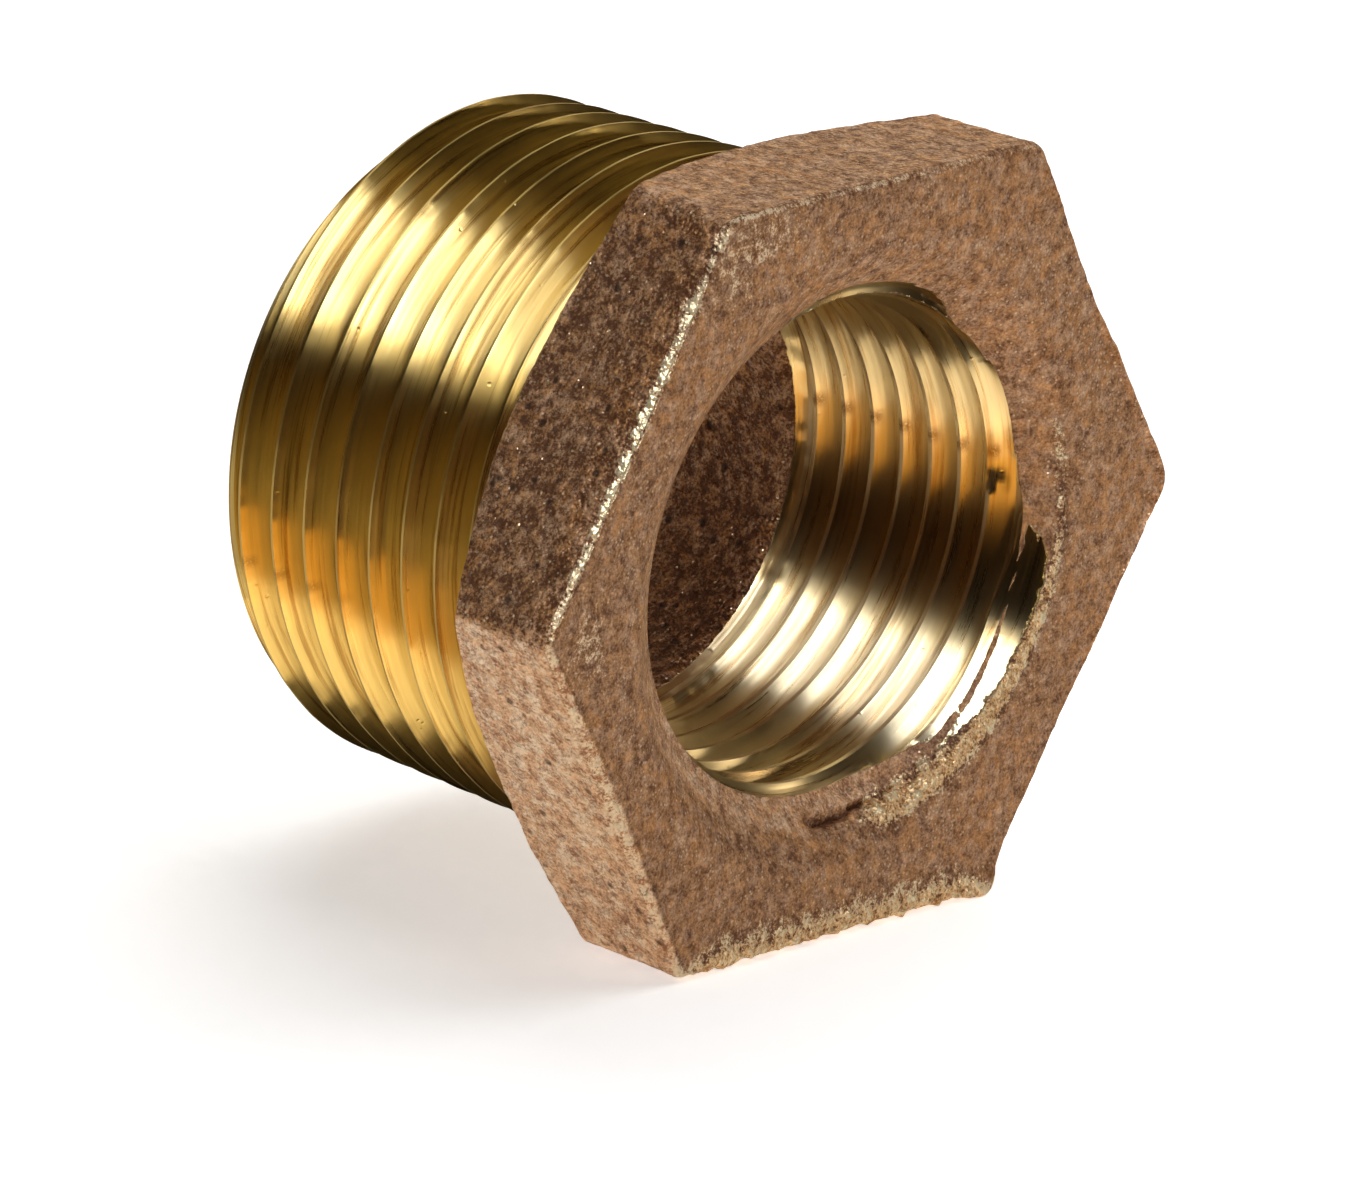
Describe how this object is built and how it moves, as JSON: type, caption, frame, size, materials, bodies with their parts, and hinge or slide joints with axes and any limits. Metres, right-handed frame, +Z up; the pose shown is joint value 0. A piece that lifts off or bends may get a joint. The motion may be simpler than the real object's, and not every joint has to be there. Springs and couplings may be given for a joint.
{
  "type": "hex reducing bushing",
  "caption": "Cast bronze hex reducing bushing with a male taper pipe thread behind the head and a smaller female taper pipe thread inside.",
  "frame": {"origin": "on the thread axis at the middle of the fitting's length, which is the centre of its box", "axes": "+X along the thread axis towards the hex head's front face and the female thread's mouth, +Z up through the middle of a flat of the head"},
  "size_m": [0.0274, 0.0426, 0.0372],
  "materials": {
    "cast_bronze": "sand-cast bronze skin, reddish brown, with bright machined threads"
  },
  "bodies": {
    "root": {"bushing_body": "cast_bronze"}
  },
  "joints": []
}
